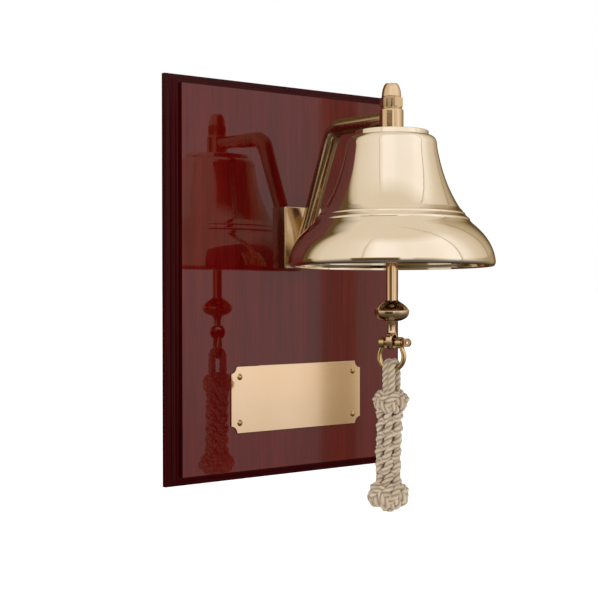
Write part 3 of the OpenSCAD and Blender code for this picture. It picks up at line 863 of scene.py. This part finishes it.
def make_clapper():
    """The clapper's turned ball: a flat collar on top, and a blunt edge round its middle."""
    ball = ([(0, 7.8), (4.8, 7.8), (5.5, 7.2)] + bezier((5.6, 7), (10.8, 4.2), (BALL_R, 0.4), 18)
            + bezier((BALL_R, -0.2), (BALL_R - 0.2, -5.8), (4.6, -7.2), 18) + [(0, -7.2)])
    points, faces = lathe(ball, 96)
    make_piece("clapper_ball_turned", points, faces, TURNED_BRASS, body="clapper",
               replaces=["clapper_ball"], place=AT_BELL @ Matrix.Translation((0, 0, BALL_Z)))


make_plaque()
make_engraving_plate()
make_bell()
make_foot()
make_arm()
make_boss()
make_acorn_nut()
make_clapper()


# ---- CAD nodes that keep their own shape ----

NODE_LOOKS = {
    "plate_pins": AGED_BRASS, "bracket_bolts": STEEL, "bracket_washers": STEEL, "hanger_plates": STEEL,
    "hanger_screws": STEEL, "eye_bolt": STEEL, "crown_washer": ARM_BRASS, "crown_nut": ARM_BRASS,
    "top_washer": ARM_BRASS, "clapper_link": GOLD_BRASS, "clapper_rod": TURNED_BRASS,
    "clapper_tail": TURNED_BRASS, "shackle_bow": GOLD_BRASS, "shackle_pin": PIN_METAL,
}


def dress_nodes():
    for node, look in NODE_LOOKS.items():
        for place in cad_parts[node].material_slots:
            place.material = look


dress_nodes()


# ---- floor and studio light ----

def add_area_light(name, at, towards, size, power):
    """A soft rectangular light that lights surfaces but isn't mirrored in them."""
    light = bpy.data.lights.new(name, "AREA")
    light.shape = "RECTANGLE"
    light.size, light.size_y = size
    light.energy = power
    lamp = add_object(name, light)
    away = Vector(at) - Vector(towards)
    lamp.matrix_world = Matrix.Translation(at) @ away.to_track_quat("Z", "Y").to_matrix().to_4x4()
    lamp.visible_glossy = False


FLOOR_Z, FLOOR_REACH = -0.33, 30


def add_floor():
    corners = [(i * FLOOR_REACH, j * FLOOR_REACH, 0) for i, j in ((-1, -1), (1, -1), (1, 1), (-1, 1))]
    mesh = bpy.data.meshes.new("floor")
    mesh.from_pydata(corners, [], [(0, 1, 2, 3)])
    floor = add_object("floor", mesh)
    floor.location.z = FLOOR_Z
    floor.visible_glossy = False
    look = Look("pale_floor", Base_Color=(1, 1, 1, 1), Roughness=1.0)
    look.shader.inputs["Specular IOR Level"].default_value = 0
    floor.data.materials.append(look.material)


# What polished surfaces mirror: (degrees round from the camera's side of the room, which rise towards the
# camera's right; brightness).
# Level with the bell there is a wide dark gap to the camera's left; higher up the walls are paler and more
# even. Both are dark on the far side of the part.
LEVEL_WALLS = [(-180, 0.12), (-104, 0.12), (-98, 0.6), (-87, 0.74), (-70, 0.75), (-51, 0.72), (-48, 0.2),
               (-20, 0.16), (3, 0.2), (6, 1.0), (17, 0.98), (23, 0.72), (42, 0.76), (60, 1.0), (79, 1.04),
               (82, 0.88), (90, 0.82), (104, 0.6), (122, 0.42), (144, 0.38), (158, 0.12)]
UPPER_WALLS = [(-180, 0.12), (-113, 0.12), (-103, 0.62), (-90, 0.75), (-75, 0.78), (-37.5, 0.86),
               (-36, 0.5), (-34.5, 0.88), (-24, 1.02), (0, 1.0), (14, 0.95), (44, 0.97), (62, 1.04),
               (79, 1.04), (82, 0.97), (90, 0.92), (104, 0.76), (128, 0.62), (131.5, 0.38), (135, 0.52),
               (146, 0.42), (158, 0.12)]
# A narrow dark upright before the walls: (degrees round, the share of the walls' light that it leaves)
DARK_UPRIGHT = [(77, 1), (77.6, 0.95), (78.2, 0.88), (78.45, 0.5), (79, 0.43), (79.75, 0.43),
                (80, 0.75), (82, 1)]
# Powers of brightness for red, green and blue, which make the upright's dimmer parts warmer
UPRIGHT_WARMTH = (0.85, 1, 1.35)
# Bands and shades by height: (a direction's level, from -1, straight down, to 1, straight up; the share).
# The two bands are where the level walls and the ceiling show; the shades are what mirrors and matt
# surfaces get of the room's light.
LEVEL_BAND = [(-0.6, 0), (-0.4, 1), (0.125, 1), (0.16, 0)]
CEILING_BAND = [(0.75, 0), (0.9, 1)]
CEILING = 0.76
HEIGHT_SHADE = [(-1, 0.10), (-0.6, 0.15), (-0.35, 0.34), (-0.17, 0.7), (-0.11, 0.8), (-0.07, 0.97),
                (0, 1), (1, 1)]
DIFFUSE_SHADE = [(-1, 0.62), (0, 0.95), (1, 1.25)]
# The tint of the room's light, and the powers that make its dimmer parts warmer
ROOM_TINT = (1.04, 0.985, 0.925)
WARMTH = (1, 1.22, 1.7)


def warm(brightness):
    """Dimmer parts of the room are warmer in tint."""
    return tuple(tint * min(brightness, 1) ** power * max(brightness, 1)
                 for tint, power in zip(ROOM_TINT, WARMTH))


def grey(brightness):
    return (brightness,) * 3


def by_turn(n, round_room, stops):
    """The room's tinted brightness by how far round a direction is, in degrees from the camera's side."""
    return n.ramp(round_room, [(angle / 360 + 0.5, warm(v)) for angle, v in stops])


def by_height(n, height, stops):
    return n.ramp(height, [(level / 2 + 0.5, grey(v)) for level, v in stops])


def dark_upright(n, round_room):
    """The narrow upright's share of light, on a ramp of its own that covers only the upright."""
    first, last = DARK_UPRIGHT[0][0], DARK_UPRIGHT[-1][0]
    across = n.spread(round_room, 0, 1, first / 360 + 0.5, last / 360 + 0.5)
    return n.ramp(across, [((angle - first) / (last - first), [v ** power for power in UPRIGHT_WARMTH])
                           for angle, v in DARK_UPRIGHT])


def mirrored_room(n, round_room, height):
    """What polished surfaces mirror in each direction."""
    walls = n.mix(by_height(n, height, LEVEL_BAND),
                  by_turn(n, round_room, UPPER_WALLS), by_turn(n, round_room, LEVEL_WALLS))
    room = n.mix(by_height(n, height, CEILING_BAND), walls, warm(CEILING))
    shaded = n.mix(1.0, room, by_height(n, height, HEIGHT_SHADE), "MULTIPLY")
    return n.mix(1.0, shaded, dark_upright(n, round_room), "MULTIPLY")


def add_world():
    """A white surround for the camera, a plain soft light for matt surfaces and a room for mirrors."""
    world = bpy.data.worlds.new("studio")
    world.use_nodes = True
    n = Nodes(world.node_tree)
    direction = n.add("TexCoord").outputs["Generated"]
    height = n.spread(n.add("SeparateXYZ", {"Vector": direction}).outputs["Z"], 0, 1, -1, 1)
    turned = n.add("Mapping", {"Vector": direction, "Rotation": (0, 0, math.radians(90 + CAMERA_YAW))})
    gradient = n.add("TexGradient", {"Vector": turned.outputs["Vector"]}, gradient_type="RADIAL")
    rays = n.add("LightPath").outputs
    seen = n.mix(rays["Is Glossy Ray"], by_height(n, height, DIFFUSE_SHADE),
                 mirrored_room(n, gradient.outputs["Fac"], height))
    seen = n.mix(rays["Is Camera Ray"], seen, grey(1))
    background = world.node_tree.nodes["Background"]
    world.node_tree.links.new(seen, background.inputs["Color"])
    bpy.context.scene.world = world
    bpy.context.scene.view_settings.view_transform = "Standard"


add_world()
add_floor()
add_area_light("key", at=(-1.2, -1.6, 1.2), towards=(0, -0.1, 0), size=(0.8, 1.2), power=8)
